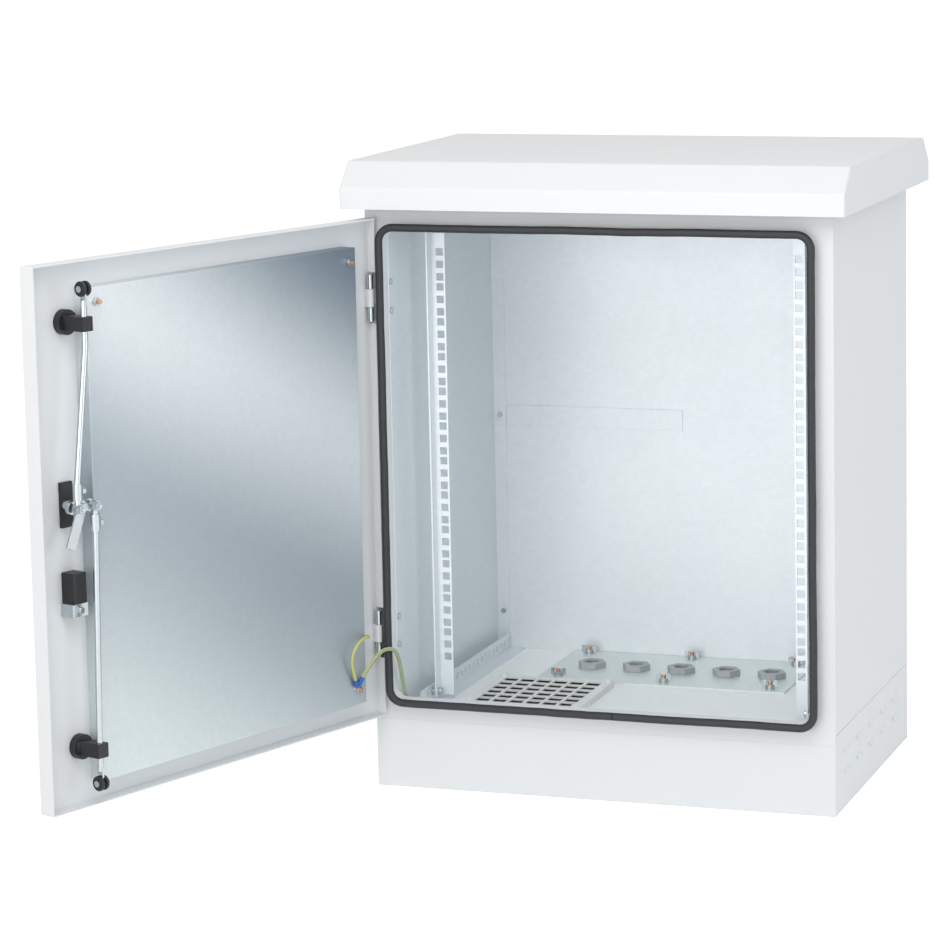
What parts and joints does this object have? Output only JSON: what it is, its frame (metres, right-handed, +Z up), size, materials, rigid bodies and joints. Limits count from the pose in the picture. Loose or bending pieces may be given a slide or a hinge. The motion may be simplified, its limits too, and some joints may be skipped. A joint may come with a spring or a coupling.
{
  "type": "roadside utility cabinet",
  "caption": "Free-standing outdoor rack cabinet on a plinth with an overhanging hood, a side-hung door with a three-point lock, rack uprights and a floor with cable glands.",
  "frame": {"origin": "centre of the plinth's footprint on the ground, which is the centre of the four anchor holes", "axes": "+Z up, -Y towards the door side, +X to the right seen from the front"},
  "size_m": [0.8155, 1.003, 0.793],
  "materials": {
    "painted_grey": "satin powder coat",
    "galvanised": "galvanised",
    "zinc": "zinc plated",
    "copper": "copper plated",
    "black_rubber": "matt",
    "black_plastic": "moulded",
    "black_metal": "black powder coat",
    "white_plastic": "moulded",
    "grey_plastic": "moulded",
    "yellow_green": "cable sheath",
    "blue_plastic": "sleeve"
  },
  "bodies": {
    "cabinet": {"plinth_front": "painted_grey", "plinth_rear": "painted_grey", "plinth_side_left": "painted_grey", "plinth_side_right": "painted_grey", "outer_shell": "painted_grey", "rear_panel": "painted_grey", "hood": "painted_grey", "lining_left": "galvanised", "lining_right": "galvanised", "lining_ceiling": "galvanised", "rear_lining": "galvanised", "floor_plate": "galvanised", "gland_plate": "galvanised", "depth_rail_lower_left": "galvanised", "depth_rail_lower_right": "galvanised", "depth_rail_upper_left": "galvanised", "depth_rail_upper_right": "galvanised", "upright_left": "galvanised", "upright_right": "galvanised", "hood_spacers": "galvanised", "hinge_bracket_upper": "zinc", "hinge_bracket_lower": "zinc", "hinge_pins": "zinc", "hinge_screws": "zinc", "strip_screws": "zinc", "rail_bolts": "zinc", "wing_nuts": "zinc", "floor_earth": "zinc", "gland_plate_studs": "copper", "gasket": "black_rubber", "grille_filter": "black_rubber", "vent_grille": "white_plastic", "gland_bodies": "grey_plastic", "gland_locknuts": "grey_plastic", "earth_lead_hinge": "yellow_green"},
    "door": {"door_pan": "painted_grey", "door_lining": "galvanised", "door_studs": "copper", "door_nuts": "zinc", "hinge_knuckles": "painted_grey", "rod_guides": "black_plastic", "lock_plate": "black_plastic", "lock_boss": "zinc", "lock_case": "black_plastic", "lock_clamp": "zinc", "handle_base": "black_plastic", "earth_lead_door": "yellow_green", "terminal_rings": "zinc", "terminal_sleeves": "blue_plastic"},
    "spindle": {"handle_spindle": "black_metal", "lock_cam": "zinc", "lock_tongue": "zinc", "cam_bolt": "zinc", "lift_pin": "zinc"},
    "grip": {"handle_grip": "black_metal"},
    "barrel": {"lock_barrel": "zinc"},
    "rod_up": {"rod_upper": "zinc"},
    "rod_down": {"rod_lower": "zinc"},
    "rollers_top": {"rollers_upper": "black_plastic"},
    "rollers_bottom": {"rollers_lower": "black_plastic"}
  },
  "joints": [
    {"name": "door_hinge", "type": "hinge", "parent": "cabinet", "child": "door", "pos_m": [-0.2865, -0.214, 0.41], "axis": [0, 0, 1], "range_deg": [-4, 110], "deforming": ["earth_lead_hinge"]},
    {"name": "handle_turn", "type": "hinge", "parent": "door", "child": "spindle", "pos_m": [-0.47375, -0.70507, 0.447], "axis": [-0.9397, 0.342, 0], "range_deg": [0, 90]},
    {"name": "handle_lift", "type": "hinge", "parent": "spindle", "child": "grip", "pos_m": [-0.48019, -0.68038, 0.447], "axis": [0, 0, 1], "range_deg": [0, 60]},
    {"name": "barrel_turn", "type": "hinge", "parent": "door", "child": "barrel", "pos_m": [-0.47375, -0.70507, 0.345], "axis": [-0.9397, 0.342, 0], "range_deg": [0, 90]},
    {"name": "rod_up_slide", "type": "slide", "parent": "door", "child": "rod_up", "axis": [0, 0, 1], "range_m": [0, 0.0131]},
    {"name": "rod_down_slide", "type": "slide", "parent": "door", "child": "rod_down", "axis": [0, 0, -1], "range_m": [0, 0.0131]},
    {"name": "rollers_top_spin", "type": "hinge", "parent": "rod_up", "child": "rollers_top", "pos_m": [-0.43706, -0.71098, 0.694], "axis": [-0.342, -0.9397, 0], "continuous": true},
    {"name": "rollers_bottom_spin", "type": "hinge", "parent": "rod_down", "child": "rollers_bottom", "pos_m": [-0.43706, -0.71098, 0.1265], "axis": [-0.342, -0.9397, 0], "continuous": true}
  ],
  "couplings": [
    {"joint": "rod_up_slide", "follows": "handle_turn", "m_per_rad": 0.0082761},
    {"joint": "rod_down_slide", "follows": "handle_turn", "m_per_rad": 0.0082761}
  ]
}
